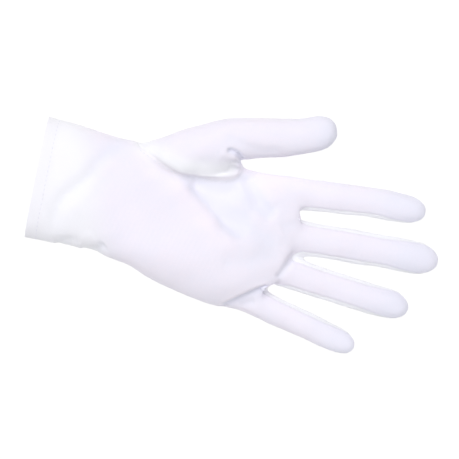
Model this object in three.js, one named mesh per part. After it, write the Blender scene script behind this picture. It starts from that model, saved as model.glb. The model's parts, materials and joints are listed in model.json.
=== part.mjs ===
// A wrist-length left-hand dress glove of thin white knit, shaped as it is worn and lying on its back.
// Millimetres. +X runs from the cuff to the fingertips, +Y points to the thumb side, +Z is the palm side.
// The glove is described as one smooth form. Every piece of cloth is a patch of that form with a wall
// thickness, and stops short of the next piece by a small seam gap.
import * as THREE from "three";

// ---- Cloth and sewing ----
const cloth = 0.8; // wall of one layer of knit
const seamInset = 0.42 * cloth; // each sewn edge stops this far before the seam line
const layerGap = 0.35; // space between two layers that lie on each other
const hemWidth = 8; // depth of the cuff's turned-in hem
const threadRadius = 0.3;
const threadLift = 0.35; // thread lies this far off the cloth

// ---- Hand ----
const cuffLength = 50; // cuff edge to the wrist
const palmLength = 105; // wrist to the root of the middle finger
const cuffWidth = 71.5;
const wristWidth = 70.1;
const wristShift = -2.9; // the wrist's centre, towards the little finger
const cuffHeight = 33.5;
const wristHeight = 32.5;
const palmHeight = 30;
const knuckleHeight = 26.5;
const restDepth = 0.9; // how far the back of the hand is pressed flat against what it lies on
const cuffRaise = 1.8; // the cuff's edge stands this far off what the hand lies on
const squareness = 0.84; // exponent of the hand's rounded section, 1 is an ellipse

// ---- Fingers, from the thumb side to the little finger ----
// span: its length of the knuckle line; shift: the finger's middle off its span's, to the thumb side;
// width: at the root and near the tip, as a share of the span; height: at the same places;
// length: knuckle line to tip; splay: degrees from +X; sink: lowest point of the finger's root;
// lift: how much the tip stands up; knuckle and bend: places of the root and middle hinges along the finger.
const fingers = {
  index: { span: 21, shift: 1.8, width: [0.895, 0.829], height: [17.6, 14.4], length: 71, splay: 3.8, sink: 2.4, lift: 7, knuckle: 12, bend: 33 },
  middle: { span: 23, shift: -0.6, width: [0.887, 0.843], height: [18.2, 15], length: 81, splay: 1.2, sink: 2, lift: 7, knuckle: 12, bend: 35 },
  ring: { span: 21.5, shift: 0, width: [0.874, 0.809], height: [17.6, 14.4], length: 73.5, splay: -5.6, sink: 1.6, lift: 7, knuckle: 12, bend: 33 },
  little: { span: 17, shift: -0.6, width: [1.012, 0.906], height: [15.8, 13], length: 63, splay: -13.2, sink: 1.6, lift: 9, knuckle: 11, bend: 28 },
};
const knuckleSteps = [-5, 0.5, 1.5, -9, -25]; // knuckle line along X, measured from the palm's end, at each finger edge
const radialEdge = 29.5; // thumb-side end of the knuckle line
const backCrotchStep = -3; // the slit between two fingers runs deeper on the back of the hand

// ---- Thumb ----
const thumb = {
  root: [114, 43.6, 23.5], width: [25, 19.6], height: [22, 16.6], length: 52.5, splay: 16.6, lift: 5,
  roll: 38, // degrees that the bending direction is rolled from straight up towards the palm
  knuckle: 11, bend: 30,
};

// ---- Joints ----
const knuckleTurn = [-6, 60]; // degrees of a finger's root hinge
const bendTurn = [-4, 75]; // degrees of a finger's middle hinge
const thumbTurn = [-10, 30];
const thumbBendTurn = [-5, 60];
const hingeGap = 0.5; // clear space between two sleeves at the hinge line
const hingeRaise = 3.5; // hinges sit this far to the palm side of the sleeve's middle

// ---- How finely the form is divided ----
const frontColumns = 6; // across the front or back of one finger
const sideColumns = 4; // across one side strip
const holeRows = 8; // rows of the hand beside the thumb hole
const holeBack = 2; // columns of the thumb hole on the back of the hand
const holeFront = 8; // columns of the thumb hole on the palm
const ringColumns = 2 * (frontColumns + sideColumns);
const wrap = sideColumns / 2; // columns of the outer fingers that wrap round to the side seam
const handFront = 4 * frontColumns + 2 * wrap;
const handColumns = 2 * handFront;
const fingerNames = Object.keys(fingers);

const degrees = Math.PI / 180;
const mix = (a, b, t) => a + (b - a) * t;
const clamp = (t) => Math.min(1, Math.max(0, t));
const ease = (t) => clamp(t) ** 2 * (3 - 2 * clamp(t));
const signedPower = (v, e) => Math.sign(v) * Math.abs(v) ** e;
const vec = (x, y, z) => new THREE.Vector3(x, y, z);

// A smooth curve through [at, value] pairs, with level ends.
function through(pairs) {
  const points = pairs.map(([at, value]) => new THREE.Vector2(at, value));
  return (x) => {
    const i = Math.max(1, points.findIndex((p, n) => n && (x <= p.x || n === points.length - 1)));
    const [a, b] = [points[i - 1], points[i]];
    const slope = (n) =>
      n > 0 && n < points.length - 1
        ? (points[n + 1].y - points[n - 1].y) / (points[n + 1].x - points[n - 1].x)
        : 0;
    const t = clamp((x - a.x) / (b.x - a.x));
    const step = b.x - a.x;
    const [t2, t3] = [t * t, t * t * t];
    return (
      (2 * t3 - 3 * t2 + 1) * a.y + (t3 - 2 * t2 + t) * step * slope(i - 1) +
      (3 * t2 - 2 * t3) * b.y + (t3 - t2) * step * slope(i)
    );
  };
}

// ---- The hand's form ----
const handEnd = cuffLength + palmLength;
const handWidth = fingerNames.reduce((sum, name) => sum + fingers[name].span, 0);
const handShift = radialEdge - handWidth / 2;
const lastRow = cuffLength + 0.68 * palmLength; // beyond this the hand runs into the fingers
const halfWidth = through([
  [0, cuffWidth / 2],
  [cuffLength / 2, (cuffWidth + wristWidth) / 4 - 0.4],
  [cuffLength, wristWidth / 2],
  [cuffLength + 0.25 * palmLength, mix(wristWidth, handWidth, 0.55) / 2],
  [cuffLength + 0.5 * palmLength, mix(wristWidth, handWidth, 0.94) / 2],
  [lastRow, handWidth / 2],
]);
const middleY = through([
  [0, 0],
  [cuffLength, wristShift],
  [cuffLength + 0.25 * palmLength, mix(wristShift, handShift, 0.5)],
  [cuffLength + 0.5 * palmLength, mix(wristShift, handShift, 0.87)],
  [lastRow, handShift],
]);
const height = through([
  [0, cuffHeight],
  [cuffLength, wristHeight],
  [cuffLength + 0.4 * palmLength, palmHeight],
  [lastRow, knuckleHeight],
]);
// Soft pads and hollows of the palm: place, spread and height.
const pads = [
  { x: cuffLength + 0.27 * palmLength, y: handShift - 13, along: 26, across: 13, rise: 3.4 },
  { x: cuffLength + 0.55 * palmLength, y: handShift + 10, along: 20, across: 13, rise: -4 },
];
const padRise = (x, y) =>
  pads.reduce((sum, p) => sum + p.rise * Math.exp(-(((x - p.x) / p.along) ** 2) - ((y - p.y) / p.across) ** 2), 0);

// A point of the hand's tube: x along it, column round it from the thumb side over the palm.
function handPoint(x, column) {
  const angle = (column / handColumns) * 2 * Math.PI;
  const half = height(x) / 2;
  const y = middleY(x) + halfWidth(x) * signedPower(Math.cos(angle), squareness);
  const up = signedPower(Math.sin(angle), squareness);
  const z = half - restDepth / 2 + (half + restDepth / 2) * up + Math.max(0, up) * padRise(x, y);
  return vec(x, y, Math.max(0, z) + cuffRaise * (1 - ease(x / (3 * hemWidth))));
}

// ---- The digits' form ----
// Each digit has a straight axis in plan that lifts towards the tip, and a rounded section.
function makeDigit(spec, root, panelAngle, squared) {
  const along = vec(Math.cos(spec.splay * degrees), Math.sin(spec.splay * degrees), 0);
  const across = vec(-along.y, along.x, 0);
  const up = vec(0, 0, 1);
  const dome = 0.88 * spec.width[1]; // length of the rounded tip
  const centre = (t) =>
    root.clone().addScaledVector(along, t).addScaledVector(up, spec.lift * clamp(t / spec.length) ** 2 - 1.2 * ease(t / 25));
  const taper = (pair, t) => mix(pair[0], pair[1], clamp(t / (spec.length - dome))) / 2;
  const domeShare = (t) => clamp((t - spec.length + dome) / dome);
  const halfAcross = (t) => taper(spec.width, t) * mix(0.24, 1, Math.sqrt(1 - domeShare(t) ** 2));
  const halfUp = (t) => taper(spec.height, t) * Math.sqrt(Math.max(0, 1 - domeShare(t) ** 2.2));
  // Angle round the digit of a column: side strips narrow to nothing over the tip.
  const angle = (column, t) => {
    const side = panelAngle * (1 - 0.9 * ease((t - spec.length + 2 * dome) / (2 * dome)));
    const c = ((column % spec.columns) + spec.columns) % spec.columns;
    const [s, f] = [spec.sides, spec.fronts];
    if (c <= s) return mix(-side, side, c / s);
    if (c <= s + f) return mix(side, 180 - side, (c - s) / f);
    if (c <= 2 * s + f) return mix(180 - side, 180 + side, (c - s - f) / s);
    return mix(180 + side, 360 - side, (c - 2 * s - f) / f);
  };
  const offset = (column, t) => {
    const a = angle(column, t) * degrees;
    return [halfAcross(t) * signedPower(Math.cos(a), squared), halfUp(t) * signedPower(Math.sin(a), squared)];
  };
  const point = (column, t) => {
    const [side, rise] = offset(column, t);
    return centre(t).addScaledVector(across, side).addScaledVector(up, rise);
  };
  return { spec, root, along, across, up, dome, centre, offset, point };
}

// Corners of the knuckle line: the outer ends and the three crotches.
const knuckleLine = knuckleSteps.map((step, n) =>
  vec(handEnd + step, radialEdge - fingerNames.slice(0, n).reduce((sum, name) => sum + fingers[name].span, 0), 0),
);
const digits = {};
fingerNames.forEach((name, n) => {
  const f = fingers[name];
  const root = knuckleLine[n].clone().add(knuckleLine[n + 1]).multiplyScalar(0.5);
  root.y += f.shift;
  root.z = f.sink + f.height[0] / 2;
  const width = f.width.map((share) => share * f.span);
  digits[name] = makeDigit({ ...f, width, columns: ringColumns, sides: sideColumns, fronts: frontColumns }, root, 35, 0.88);
});
const thumbColumns = 2 * (holeRows + holeBack + holeFront);
digits.thumb = makeDigit(
  { ...thumb, columns: thumbColumns, sides: thumbColumns / 4, fronts: thumbColumns / 4 },
  vec(...thumb.root), 45, 0.92,
);

// Where a finger's column leaves the knuckle line. Neighbouring fingers share their crotch points.
function rootPoint(n, column) {
  const name = fingerNames[n];
  const d = digits[name];
  const [side, rise] = d.offset(column, 0);
  const share = clamp(0.5 - side / d.spec.width[0]);
  const p = knuckleLine[n].clone().lerp(knuckleLine[n + 1], share);
  p.z = d.root.z + rise;
  p.x += rise < 0 ? backCrotchStep * clamp(-rise / 5) : 0;
  return p;
}
function knucklePoint(n, column) {
  const c = ((column % ringColumns) + ringColumns) % ringColumns;
  const own = rootPoint(n, c);
  if (c <= sideColumns && n > 0) return own.add(rootPoint(n - 1, 2 * sideColumns + frontColumns - c)).multiplyScalar(0.5);
  if (c >= sideColumns + frontColumns && c <= 2 * sideColumns + frontColumns && n < 3)
    return own.add(rootPoint(n + 1, 2 * sideColumns + frontColumns - c)).multiplyScalar(0.5);
  return own;
}
const alongFinger = (n, p) => p.clone().sub(digits[fingerNames[n]].root).dot(digits[fingerNames[n]].along);
// A finger's column at a place along its axis. It eases from the shared line to the finger's own section.
const easeLength = 12;
function fingerPoint(n, column, at) {
  const d = digits[fingerNames[n]];
  const start = knucklePoint(n, column);
  const past = at - alongFinger(n, start);
  const slid = start.addScaledVector(d.along, past);
  return slid.lerp(d.point(column, Math.max(0, at)), ease(past / easeLength));
}

// Which finger and ring column a column of the hand runs into.
function fingerOfColumn(column) {
  const back = column > handFront;
  const k = back ? handColumns - column : column;
  const n = Math.min(3, Math.max(0, Math.floor((k - wrap) / frontColumns)));
  const c = wrap + (k - wrap - n * frontColumns) + wrap;
  return [n, back ? ringColumns + sideColumns - c : c];
}

// ---- The cage: welded points and faces, each face marked with its piece ----
const cage = { points: [], faces: [], index: new Map() };
function weld(p) {
  const key = [p.x, p.y, p.z].map((v) => Math.round(v * 1000)).join();
  if (!cage.index.has(key)) {
    cage.index.set(key, cage.points.length);
    cage.points.push(p.clone());
  }
  return cage.index.get(key);
}
function addFace(piece, corners) {
  const face = corners.map(weld).filter((v, i, all) => v !== all[(i + 1) % all.length]);
  if (face.length > 2) cage.faces.push({ piece, face });
}
// Adds a patch from a grid of points, rows of columns.
function addPatch(grid, pieceOf) {
  for (let r = 0; r + 1 < grid.length; r++)
    for (let c = 0; c + 1 < grid[r].length; c++) {
      const piece = pieceOf(r, c);
      if (piece) addFace(piece, [grid[r][c], grid[r][c + 1], grid[r + 1][c + 1], grid[r + 1][c]]);
    }
}

// ---- Hand rows and the thumb hole ----
const holeStart = cuffLength;
const holeEnd = cuffLength + 0.615 * palmLength;
const rowsAt = [0, hemWidth, 0.36 * cuffLength, 0.56 * cuffLength, 0.78 * cuffLength];
for (let r = 0; r <= holeRows; r++) rowsAt.push(mix(holeStart, holeEnd, r / holeRows));
rowsAt.push(lastRow);
const holeRow = 5; // the hole's first row
const holeLow = -holeBack;
// The thumb seam as a loop round the hole: share of the hole's length, and column round the hand.
const thumbSeam = new THREE.CatmullRomCurve3(
  [
    [0.99, 1.2], [0.985, 3.8], [0.93, 6.6], [0.78, 7.9], [0.56, 7.9], [0.36, 7], [0.16, 4.2], [0.015, 1.2],
    [0.04, -0.3], [0.25, -1.6], [0.55, -2.1], [0.85, -1.9], [0.97, -0.6],
  ].map(([share, column]) => vec(share * 16, column, 0)),
  true, "centripetal",
);
// The rows and columns round the hole, from the crotch corner along the palm side to the wrist and back.
function holeLoop() {
  const loop = [];
  const [lo, hi, top] = [holeLow, holeFront, holeRow + holeRows];
  for (let c = 0; c < hi; c++) loop.push([top, c]);
  for (let r = top; r > holeRow; r--) loop.push([r, hi]);
  for (let c = hi; c > lo; c--) loop.push([holeRow, c]);
  for (let r = holeRow; r < top; r++) loop.push([r, lo]);
  for (let c = lo; c < 0; c++) loop.push([top, c]);
  return loop;
}
const columnKey = (c) => ((c % handColumns) + handColumns) % handColumns;

// Slides the hand's grid along its own surface so that it flows round the hole.
function relaxedHand() {
  const grid = rowsAt.map((x) => Array.from({ length: handColumns }, (_, c) => ({ x, c, fixed: false })));
  grid.forEach((row, r) =>
    row.forEach((cell) => { cell.fixed = r < 3 || r === rowsAt.length - 1; }),
  );
  const loop = holeLoop();
  loop.forEach(([r, c], i) => {
    const p = thumbSeam.getPointAt(i / loop.length);
    const cell = grid[r][columnKey(c)];
    [cell.x, cell.c, cell.fixed] = [mix(holeStart, holeEnd, p.x / 16), columnKey(p.y + handColumns) , true];
  });
  const near = (value, other) => other - handColumns * Math.round((other - value) / handColumns);
  for (let pass = 0; pass < 80; pass++)
    for (let r = 1; r < rowsAt.length - 1; r++)
      for (let c = 0; c < handColumns; c++) {
        const cell = grid[r][c];
        if (cell.fixed) continue;
        const around = [grid[r - 1][c], grid[r + 1][c], grid[r][columnKey(c - 1)], grid[r][columnKey(c + 1)]];
        cell.x = 0.5 * cell.x + 0.125 * around.reduce((s, a) => s + a.x, 0);
        cell.c = 0.5 * cell.c + 0.125 * around.reduce((s, a) => s + near(cell.c, a.c), 0);
      }
  return grid;
}
const inHole = (r, c) => {
  const column = c >= handColumns / 2 ? c - handColumns : c;
  return r >= holeRow && r < holeRow + holeRows && column >= holeLow && column < holeFront;
};
const handPiece = (c) => (c < handFront ? "palm_panel" : "back_panel");

const handGrid = relaxedHand().map((row) => row.map((cell) => handPoint(cell.x, cell.c)));
const closed = (row) => [...row, row[0]];
addPatch(handGrid.map(closed), (r, c) => (inHole(r, c) ? null : handPiece(c)));

// From the last row of the hand to the knuckle line.
const rootRows = 3;
function hermite(a, ta, b, tb, t) {
  const [t2, t3] = [t * t, t * t * t];
  return vec(0, 0, 0)
    .addScaledVector(a, 2 * t3 - 3 * t2 + 1).addScaledVector(ta, t3 - 2 * t2 + t)
    .addScaledVector(b, 3 * t2 - 2 * t3).addScaledVector(tb, t3 - t2);
}
function handEndPoint(column, share) {
  const start = handGrid.at(-1)[column];
  const [n, c] = fingerOfColumn(column);
  const end = knucklePoint(n, c);
  const reach = start.distanceTo(end);
  return hermite(start, vec(reach, 0, 0), end, digits[fingerNames[n]].along.clone().multiplyScalar(reach), share);
}
const endGrid = Array.from({ length: rootRows + 1 }, (_, r) =>
  closed(Array.from({ length: handColumns }, (_, c) => handEndPoint(c, r / rootRows))),
);
addPatch(endGrid, (r, c) => handPiece(c));

// ---- Fingers ----
// Pieces round a finger ring, by column: side strip, front, side strip, back. The outer fingers have no
// outer strip; their front and back meet at the side seam.
function fingerPiece(n, c) {
  const name = fingerNames[n];
  if (c < sideColumns) return n > 0 ? `${name}_thumb_side` : c < wrap ? `${name}_back` : `${name}_front`;
  if (c < sideColumns + frontColumns) return `${name}_front`;
  if (c < 2 * sideColumns + frontColumns)
    return n < 3 ? `${name}_outer_side` : c < sideColumns + frontColumns + wrap ? `${name}_front` : `${name}_back`;
  return `${name}_back`;
}
// How far a sleeve's end stays off a hinge, so that it clears the next sleeve over the whole turn.
function hingeRoom(d, turn, column, t) {
  const [, rise] = d.offset(column, t);
  const above = rise - hingeRaise;
  const angle = above > 0 ? turn[1] : -turn[0];
  return hingeGap / 2 - seamInset + Math.abs(above) * Math.tan((angle / 2) * degrees);
}
function fingerRow(n, place) {
  return Array.from({ length: ringColumns + 1 }, (_, c) => fingerPoint(n, c % ringColumns, place(c)));
}
const sectionRows = { stub: 2, lower: 4, upper: 9 };
// Stations along a sleeve, closer together over the rounded tip.
const tipSpread = (share) => Math.sin((share * Math.PI) / 2) ** 0.9;
function addFinger(n) {
  const name = fingerNames[n];
  const d = digits[name];
  const { knuckle, bend, length } = d.spec;
  const ends = (at, turn, c) => hingeRoom(d, turn, c, at);
  const sections = {
    stub: (s, c) => mix(alongFinger(n, knucklePoint(n, c)), knuckle - ends(knuckle, knuckleTurn, c), s),
    lower: (s, c) => mix(knuckle + ends(knuckle, knuckleTurn, c), bend - ends(bend, bendTurn, c), s),
    upper: (s, c) => mix(bend + ends(bend, bendTurn, c), length, s < 1 ? tipSpread(s) : 1),
  };
  for (const [section, place] of Object.entries(sections)) {
    const rows = sectionRows[section];
    const grid = Array.from({ length: rows + 1 }, (_, r) => fingerRow(n, (c) => place(r / rows, c)));
    if (section === "upper") closeTip(grid, sideColumns, frontColumns);
    addPatch(grid, (r, c) => sectionPiece(section, n, fingerPiece(n, c)));
  }
}
// The hand keeps each sleeve's first few millimetres; a side strip's first part is the crotch gusset.
function sectionPiece(section, n, piece) {
  if (section === "lower") return piece;
  if (section === "upper") return piece.replace(fingerNames[n], `${fingerNames[n]}_tip`);
  if (piece.endsWith("_front")) return "palm_panel";
  if (piece.endsWith("_back")) return "back_panel";
  const between = piece.endsWith("_outer_side") ? [n, n + 1] : [n - 1, n];
  return `${between.map((m) => fingerNames[m]).join("_")}_gusset`;
}
// Sews the last row shut: the front's edge meets the back's, and each side strip runs out to a point.
function closeTip(grid, sides, fronts) {
  const last = grid.at(-1);
  const columns = last.length - 1;
  for (let k = 0; k <= fronts; k++) {
    const back = (columns - k) % columns;
    const middle = last[sides + k].clone().add(last[back]).multiplyScalar(0.5);
    last[sides + k] = middle;
    last[back] = middle;
  }
  for (let k = 0; k <= sides; k++) {
    last[k] = last[sides];
    last[sides + fronts + k] = last[sides + fronts];
  }
  last[columns] = last[0];
}
fingerNames.forEach((_, n) => addFinger(n));

// ---- Thumb: a set-in root from the seam to the sleeve, then two sleeve sections ----
const thumbRootRows = 6;
const thumbSeamPoints = holeLoop().map(([r, c]) => handGrid[r][columnKey(c)]);
// Ring columns run from the crotch side over the palm side, so they start at the thumb's inner side.
const thumbColumn = (i) => (thumbColumns / 4) * 2.5 - i + thumbColumns;
function seamLeaving(i) {
  const n = thumbSeamPoints.length;
  const run = thumbSeamPoints[(i + 1) % n].clone().sub(thumbSeamPoints[(i + n - 1) % n]).normalize();
  const from = thumbSeamPoints[i];
  const middle = vec(mix(holeStart, holeEnd, 0.5), middleY(mix(holeStart, holeEnd, 0.5)), palmHeight / 2);
  const out = from.clone().sub(middle).setX(0).normalize();
  const into = run.clone().cross(out).multiplyScalar(-1).normalize();
  // Flush with the hand at the wrist end, standing up from it at the crotch.
  const stand = ease((from.x - holeStart) / (holeEnd - holeStart));
  return out.multiplyScalar(mix(0.12, 0.85, stand)).addScaledVector(into, mix(1, 0.5, stand)).normalize();
}
function thumbRootPoint(i, share) {
  const d = digits.thumb;
  const start = thumbSeamPoints[i];
  const end = d.point(thumbColumn(i), 0);
  const reach = start.distanceTo(end);
  return hermite(start, seamLeaving(i).multiplyScalar(0.95 * reach), end, d.along.clone().multiplyScalar(reach), share);
}
function thumbGrid(rows, place) {
  return Array.from({ length: rows + 1 }, (_, r) =>
    Array.from({ length: thumbColumns + 1 }, (_, i) => place((thumbColumns - i) % thumbColumns, r / rows)),
  );
}
// The thumb hinges roll with the thumb, so its sections measure their rise in the bending direction.
const thumbRoll = thumb.roll * degrees;
const thumbBendUp = vec(0, 0, 1).multiplyScalar(Math.cos(thumbRoll))
  .addScaledVector(digits.thumb.across, -Math.sin(thumbRoll));
function thumbRoom(turn, column, t) {
  const [side, rise] = digits.thumb.offset(column, t);
  const above = rise * Math.cos(thumbRoll) - side * Math.sin(thumbRoll) - hingeRaise;
  const angle = above > 0 ? turn[1] : -turn[0];
  return hingeGap / 2 - seamInset + Math.abs(above) * Math.tan((angle / 2) * degrees);
}
// The sleeve is one folded piece: its outer half faces away from the hand and its inner half faces the palm.
const thumbHalf = (i) => (i < thumbColumns / 2 ? "outer" : "inner");
function addThumb() {
  const d = digits.thumb;
  const { knuckle, bend, length } = d.spec;
  addPatch(thumbGrid(thumbRootRows, thumbRootPoint), () => "thumb_root");
  const column = (i) => thumbColumn(i) % thumbColumns;
  const room = (at, turn, i) => thumbRoom(turn, column(i), at);
  const at = (i, t) => d.point(column(i), t);
  const stub = (i, s) => at(i, mix(0, knuckle - room(knuckle, thumbTurn, i), s));
  const lower = (i, s) =>
    at(i, mix(knuckle + room(knuckle, thumbTurn, i), bend - room(bend, thumbBendTurn, i), s));
  const upper = (i, s) => at(i, mix(bend + room(bend, thumbBendTurn, i), length, tipSpread(s)));
  addPatch(thumbGrid(2, stub), () => "thumb_root");
  addPatch(thumbGrid(3, lower), (r, i) => `thumb_${thumbHalf(i)}`);
  const tip = thumbGrid(7, upper);
  closeThumbTip(tip);
  addPatch(tip, (r, i) => `thumb_tip_${thumbHalf(i)}`);
}
// The thumb's last ring folds flat: each column meets its mirror across the tip seam.
function closeThumbTip(grid) {
  const last = grid.at(-1);
  for (let i = 0; i <= thumbColumns / 2; i++) {
    const other = (thumbColumns - i) % thumbColumns;
    const middle = last[i].clone().add(last[other]).multiplyScalar(0.5);
    last[i] = middle;
    last[other] = middle;
  }
  last[thumbColumns] = last[0];
}
addThumb();

// ---- Turning pieces of the form into cloth ----
const normals = cage.points.map(() => vec(0, 0, 0));
for (const { face } of cage.faces) {
  const [a, b, c, d = a] = face.map((v) => cage.points[v]);
  const facing = c.clone().sub(a).cross(d.clone().sub(b)).normalize();
  face.forEach((v) => normals[v].add(facing));
}
normals.forEach((n) => n.normalize());

// A closed wall over some faces: outer skin, inner skin and a rim along every open edge.
function wallOver(faces, outside, inside) {
  const inner = new Map();
  const towards = new Map();
  const edges = new Map();
  for (const face of faces) {
    const middle = face.reduce((sum, v) => sum.add(cage.points[v]), vec(0, 0, 0)).divideScalar(face.length);
    face.forEach((v, i) => {
      if (!towards.has(v)) towards.set(v, vec(0, 0, 0));
      towards.get(v).add(middle.clone().sub(cage.points[v]));
      const w = face[(i + 1) % face.length];
      const key = v < w ? `${v},${w}` : `${w},${v}`;
      edges.set(key, edges.has(key) ? null : [v, w]);
    });
  }
  const open = [...edges.values()].filter(Boolean);
  const onEdge = new Set(open.flat());
  const positions = [];
  const outer = new Map();
  for (const v of towards.keys()) {
    const p = cage.points[v].clone();
    if (onEdge.has(v)) {
      const pull = towards.get(v).addScaledVector(normals[v], -towards.get(v).dot(normals[v])).normalize();
      p.addScaledVector(pull, seamInset);
    }
    outer.set(v, positions.length / 3);
    positions.push(...p.clone().addScaledVector(normals[v], outside).toArray());
    inner.set(v, positions.length / 3);
    positions.push(...p.clone().addScaledVector(normals[v], inside).toArray());
  }
  const triangles = [];
  for (const face of faces)
    for (let i = 1; i + 1 < face.length; i++) {
      const [a, b, c] = [face[0], face[i], face[i + 1]];
      triangles.push(outer.get(a), outer.get(b), outer.get(c));
      triangles.push(inner.get(c), inner.get(b), inner.get(a));
    }
  for (const [v, w] of open)
    triangles.push(outer.get(w), outer.get(v), inner.get(v), outer.get(w), inner.get(v), inner.get(w));
  const geometry = new THREE.BufferGeometry();
  geometry.setAttribute("position", new THREE.Float32BufferAttribute(positions, 3));
  geometry.setIndex(triangles);
  geometry.computeVertexNormals();
  return geometry;
}

const knit = new THREE.MeshStandardMaterial({ color: 0xf7f5fb, roughness: 0.85, metalness: 0 });
const thread = new THREE.MeshStandardMaterial({ color: 0xf4f3f8, roughness: 0.6, metalness: 0 });
const glove = new THREE.Group();
function addMesh(name, geometry, material) {
  const mesh = new THREE.Mesh(geometry, material);
  mesh.name = name;
  glove.add(mesh);
}
const pieces = [...new Set(cage.faces.map(({ piece }) => piece))];
for (const piece of pieces)
  addMesh(piece, wallOver(cage.faces.filter((f) => f.piece === piece).map((f) => f.face), 0, -cloth), knit);

// ---- The cuff's hem: the cloth's end turned inside ----
const hemFaces = [];
for (let c = 0; c < handColumns; c++) {
  const next = (c + 1) % handColumns;
  hemFaces.push([weld(handGrid[0][c]), weld(handGrid[0][next]), weld(handGrid[1][next]), weld(handGrid[1][c])]);
}
addMesh("cuff_hem", wallOver(hemFaces, -cloth - layerGap, -2 * cloth - layerGap), knit);

// ---- Threads ----
const hemThreadStep = 1.3; // the hem's thread runs this far inside the hem's edge
const seamThreadStep = 1.5; // the thumb seam's thread runs this far beside the seam
function addLoopThread(name, points) {
  const path = new THREE.CatmullRomCurve3(points, true, "centripetal");
  addMesh(name, new THREE.TubeGeometry(path, points.length, threadRadius, 5, true), thread);
}
function addOpenThread(name, points) {
  const section = new THREE.Shape();
  section.absarc(0, 0, threadRadius, 0, 2 * Math.PI, false);
  const extrudePath = new THREE.CatmullRomCurve3(points, false, "centripetal");
  const steps = 2 * points.length;
  addMesh(name, new THREE.ExtrudeGeometry(section, { steps, extrudePath, curveSegments: 3, bevelEnabled: false }), thread);
}
// A point on the cloth between two corners of the form, lifted to where a thread lies.
function onCloth(a, b, step) {
  const share = step / a.distanceTo(b);
  const normal = normals[weld(b)].clone();
  return a.clone().lerp(b, share).addScaledVector(normal, threadLift + threadRadius);
}
addLoopThread("cuff_hem_thread", handGrid[0].map((edge, c) => onCloth(edge, handGrid[1][c], hemWidth - hemThreadStep)));

// The stitches show on the palm beside the thumb seam, from the wrist to the crotch.
const seamThread = [];
for (let r = holeRow + 1; r < holeRow + holeRows; r++)
  seamThread.push(onCloth(handGrid[r][holeFront], handGrid[r][holeFront + 1], seamThreadStep));
addOpenThread("thumb_seam_thread", seamThread);

// The origin goes under the middle of the glove's box.
const box = new THREE.Box3().setFromObject(glove);
const middle = box.getCenter(vec(0, 0, 0));
glove.position.set(-middle.x, -middle.y, -box.min.z);

export default glove;
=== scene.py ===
import json
import math

import bmesh
import bpy
import numpy as np
from mathutils import Matrix, Vector
from mathutils.bvhtree import BVHTree
from mathutils.kdtree import KDTree


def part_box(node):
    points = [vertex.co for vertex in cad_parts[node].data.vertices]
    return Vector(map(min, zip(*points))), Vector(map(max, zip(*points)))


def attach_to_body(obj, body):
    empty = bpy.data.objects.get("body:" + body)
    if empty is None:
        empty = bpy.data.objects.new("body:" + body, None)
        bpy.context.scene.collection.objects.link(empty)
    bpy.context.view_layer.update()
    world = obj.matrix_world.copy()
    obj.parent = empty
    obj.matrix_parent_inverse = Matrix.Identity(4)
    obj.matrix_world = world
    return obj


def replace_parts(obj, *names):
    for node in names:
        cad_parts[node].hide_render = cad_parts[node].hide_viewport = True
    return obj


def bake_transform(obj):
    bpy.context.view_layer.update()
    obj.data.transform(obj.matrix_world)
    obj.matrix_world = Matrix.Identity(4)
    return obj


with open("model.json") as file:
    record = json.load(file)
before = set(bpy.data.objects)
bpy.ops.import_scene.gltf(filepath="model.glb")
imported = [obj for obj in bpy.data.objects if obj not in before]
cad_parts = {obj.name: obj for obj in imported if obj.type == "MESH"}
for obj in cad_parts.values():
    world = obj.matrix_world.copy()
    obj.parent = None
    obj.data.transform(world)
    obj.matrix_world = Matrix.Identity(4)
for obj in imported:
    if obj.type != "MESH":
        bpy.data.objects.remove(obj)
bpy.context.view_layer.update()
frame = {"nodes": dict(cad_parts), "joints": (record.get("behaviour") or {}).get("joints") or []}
joints = {j["name"]: j for j in frame["joints"]}
mm = 0.001
print("frame loaded")

# Places on the glove are in millimetres from the middle of the cuff's edge:
# x to the fingertips, y to the thumb side, z up out of the palm.
hemLow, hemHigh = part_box("cuff_hem")
cuffEdge = Vector((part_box("palm_panel")[0].x, (hemLow.y + hemHigh.y) / 2, 0))


def onGlove(x, y, z=0.0):
    return cuffEdge + Vector((x, y, z)) * mm


class Socket:
    # A node's output that can be added, multiplied and so on, each making a math node.
    def __init__(self, tree, output):
        self.tree, self.output = tree, output

    def math(self, operation, other, swapped=False):
        a, b = (other, self) if swapped else (self, other)
        return self.tree.node("ShaderNodeMath", operation=operation, inputs={0: a, 1: b})

    def __add__(self, other):
        return self.math("ADD", other)

    def __radd__(self, other):
        return self.math("ADD", other, True)

    def __sub__(self, other):
        return self.math("SUBTRACT", other)

    def __rsub__(self, other):
        return self.math("SUBTRACT", other, True)

    def __mul__(self, other):
        return self.math("MULTIPLY", other)

    def __rmul__(self, other):
        return self.math("MULTIPLY", other, True)

    def sine(self):
        return self.tree.node("ShaderNodeMath", operation="SINE", inputs={0: self})


class Shader:
    # The node tree of one material or world, ending in its own shader node.
    def __init__(self, owner, surface="Principled BSDF"):
        owner.use_nodes = True
        self.owner, self.tree = owner, owner.node_tree
        self.surface = self.tree.nodes[surface]

    def node(self, kind, output=0, inputs=None, **settings):
        made = self.tree.nodes.new(kind)
        for key, value in settings.items():
            setattr(made, key, value)
        self.connect(made, inputs or {})
        return Socket(self, made.outputs[output])

    def connect(self, node, inputs):
        for key, value in inputs.items():
            if isinstance(value, Socket):
                self.tree.links.new(value.output, node.inputs[key])
            else:
                node.inputs[key].default_value = value


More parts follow.
